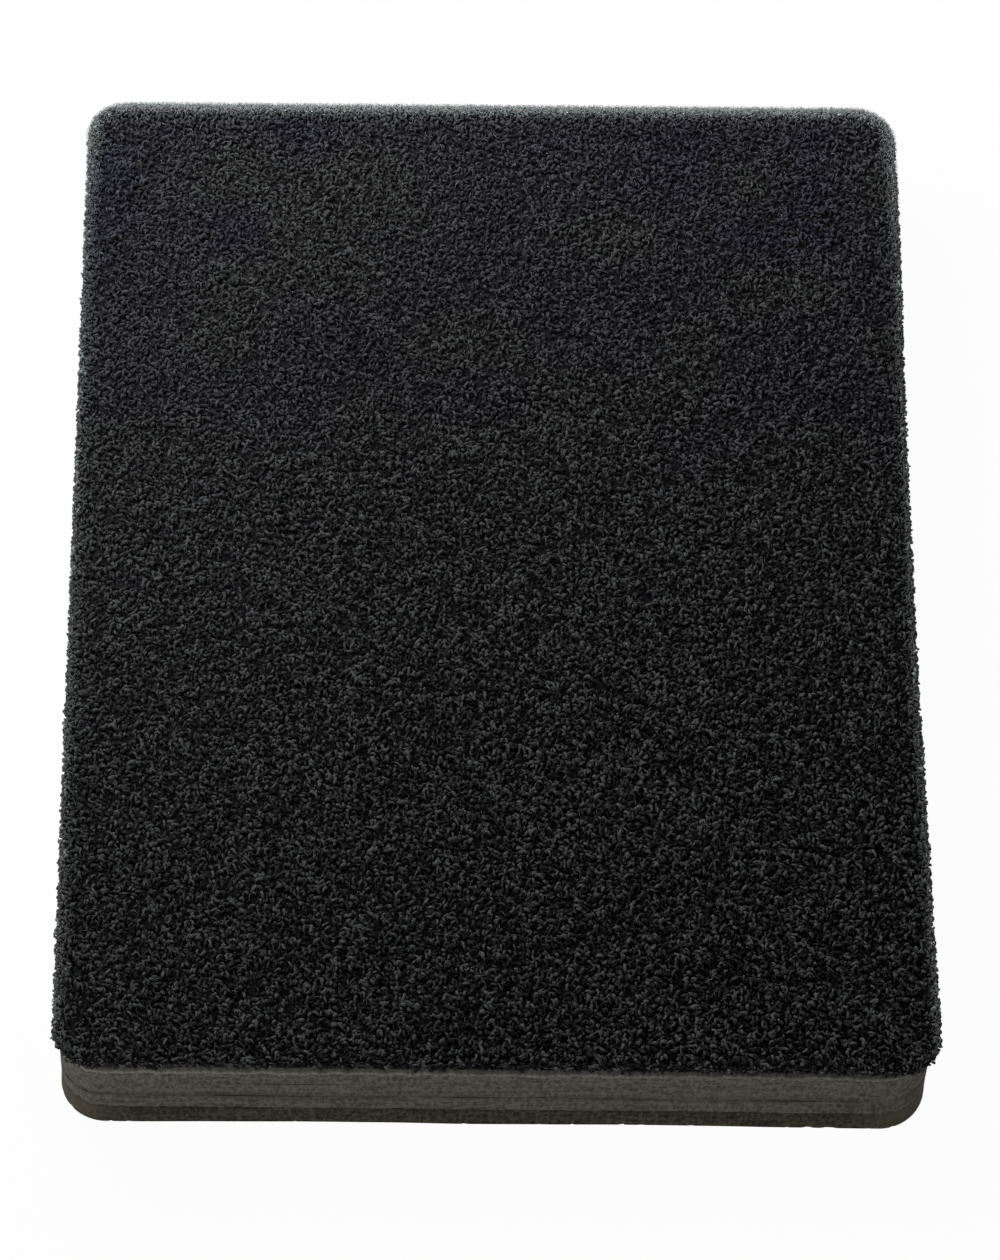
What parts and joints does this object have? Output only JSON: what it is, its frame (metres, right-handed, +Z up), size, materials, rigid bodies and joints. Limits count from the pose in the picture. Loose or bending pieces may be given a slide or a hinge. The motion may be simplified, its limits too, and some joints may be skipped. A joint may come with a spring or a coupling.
{
  "type": "chalkboard eraser",
  "caption": "Flat hand-held pad eraser: a die-cut block of laminated foam sheets with a curly loop-pile wiping face.",
  "frame": {"origin": "middle of the underside of the base sheet, on the surface that the eraser lies on", "axes": "+Z up through the stack to the wiping face, +Y along the eraser's length, +X across its width"},
  "size_m": [0.0762, 0.1016, 0.0116],
  "materials": {
    "base_foam": "matte",
    "grey_foam": "matte",
    "glue_film": "matte",
    "face_glue": "satin",
    "knit_ground": "matte",
    "loop_pile": "matte"
  },
  "bodies": {
    "root": {"base_sheet": "base_foam", "bond_film_1": "glue_film", "foam_sheet_1": "grey_foam", "bond_film_2": "glue_film", "foam_sheet_2": "grey_foam", "bond_film_3": "glue_film", "foam_sheet_3": "grey_foam", "face_film": "face_glue", "ground_cloth": "knit_ground", "pile": "loop_pile"}
  },
  "joints": []
}
